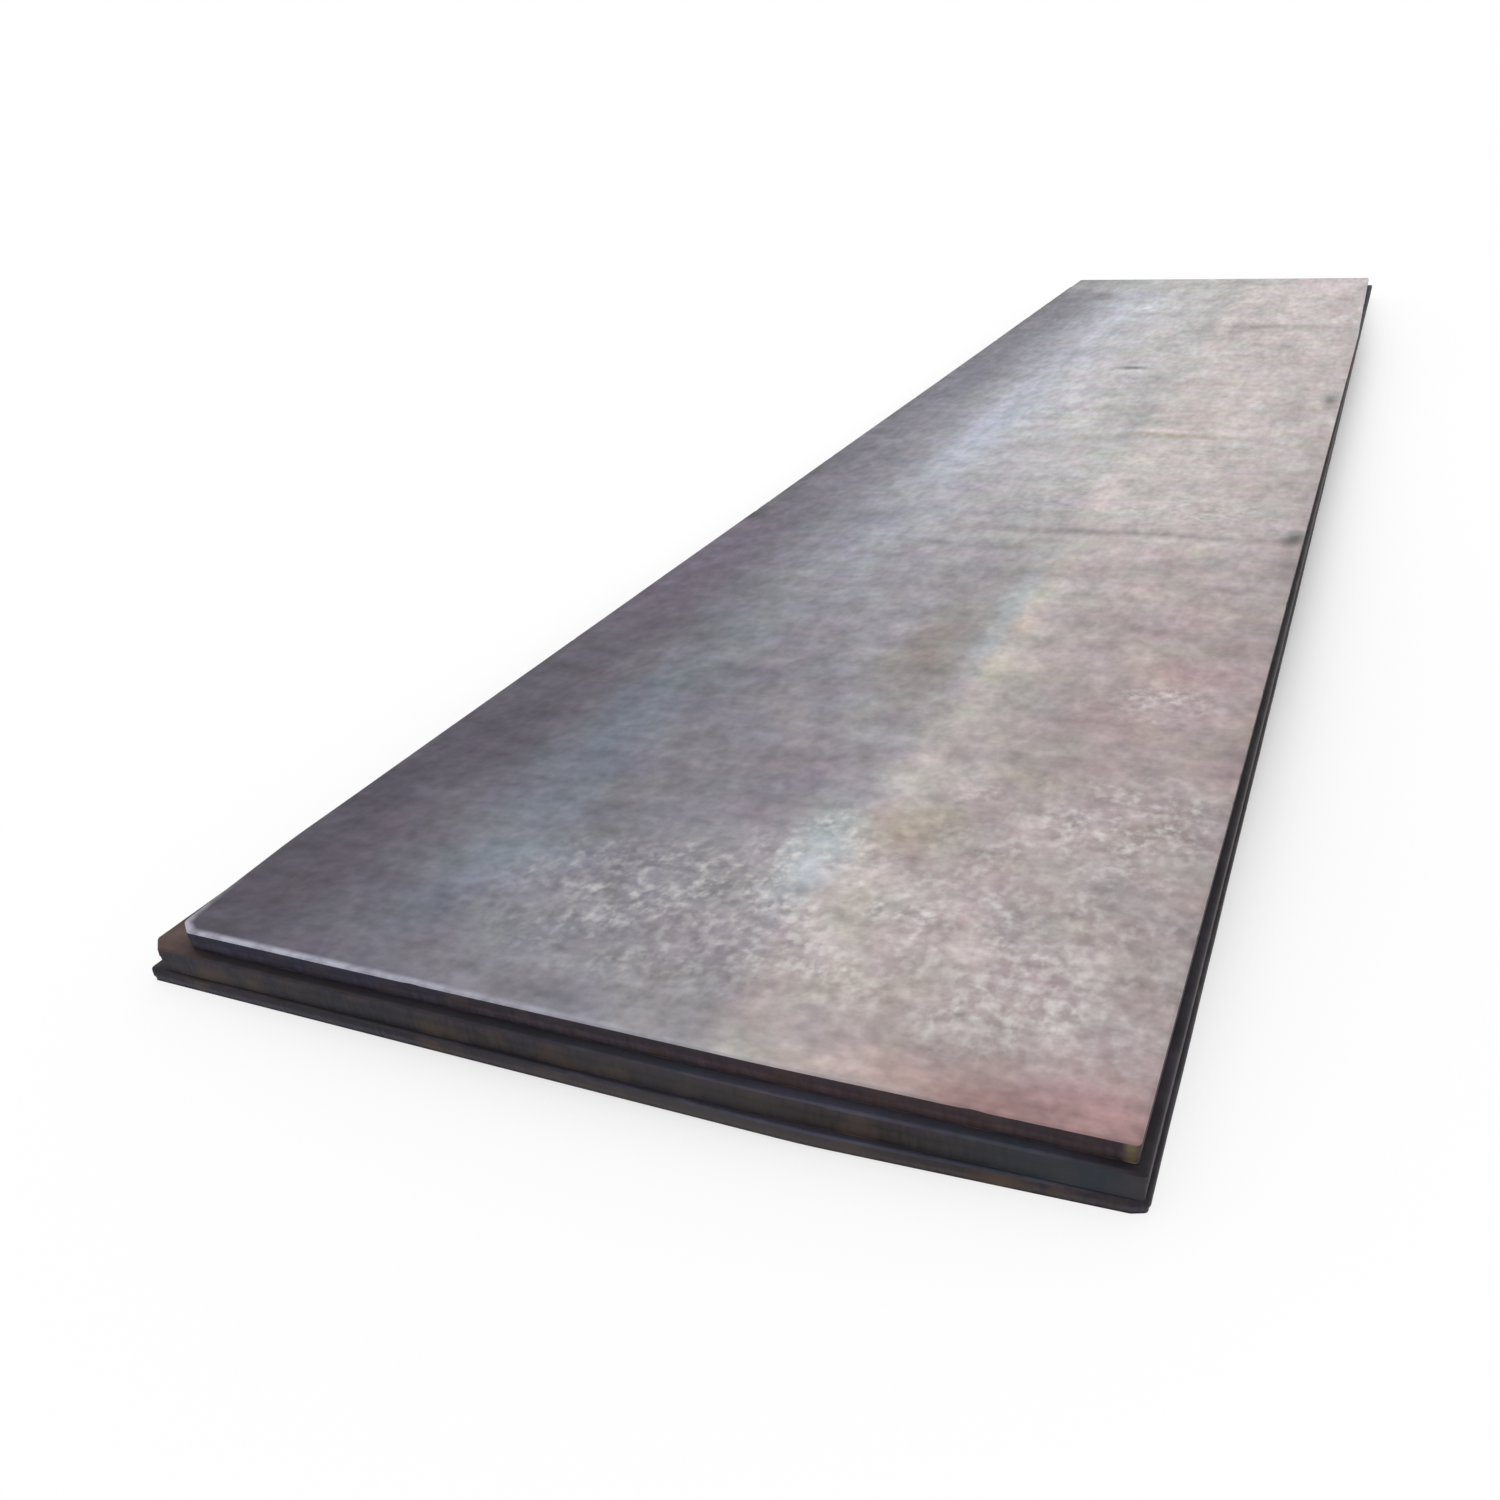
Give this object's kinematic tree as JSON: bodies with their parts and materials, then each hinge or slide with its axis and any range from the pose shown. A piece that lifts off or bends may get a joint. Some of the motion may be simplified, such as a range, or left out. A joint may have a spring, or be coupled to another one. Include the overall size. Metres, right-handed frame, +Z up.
{
  "type": "stack of steel plates",
  "caption": "Low stack of heavy hot rolled steel plates with sheared edges, lying flat on one another a little out of line.",
  "frame": {"origin": "middle of the bottom plate's underside, on the ground", "axes": "+X across the plates to the right as seen from the near end, +Y along the plates away from the near end, +Z up"},
  "size_m": [1.8768, 8.0399, 0.12],
  "materials": {
    "top_plate": "hot rolled steel with grey to mauve mill scale, whitish rubbed patches and thin rust",
    "middle_plate": "hot rolled steel, dark sheared edge with brown rust film on the open ledge",
    "bottom_plate": "hot rolled steel, dusty dark sheared edge with brown rust film"
  },
  "bodies": {
    "root": {"bottom_plate": "bottom_plate", "middle_plate": "middle_plate", "top_plate": "top_plate"}
  },
  "joints": []
}
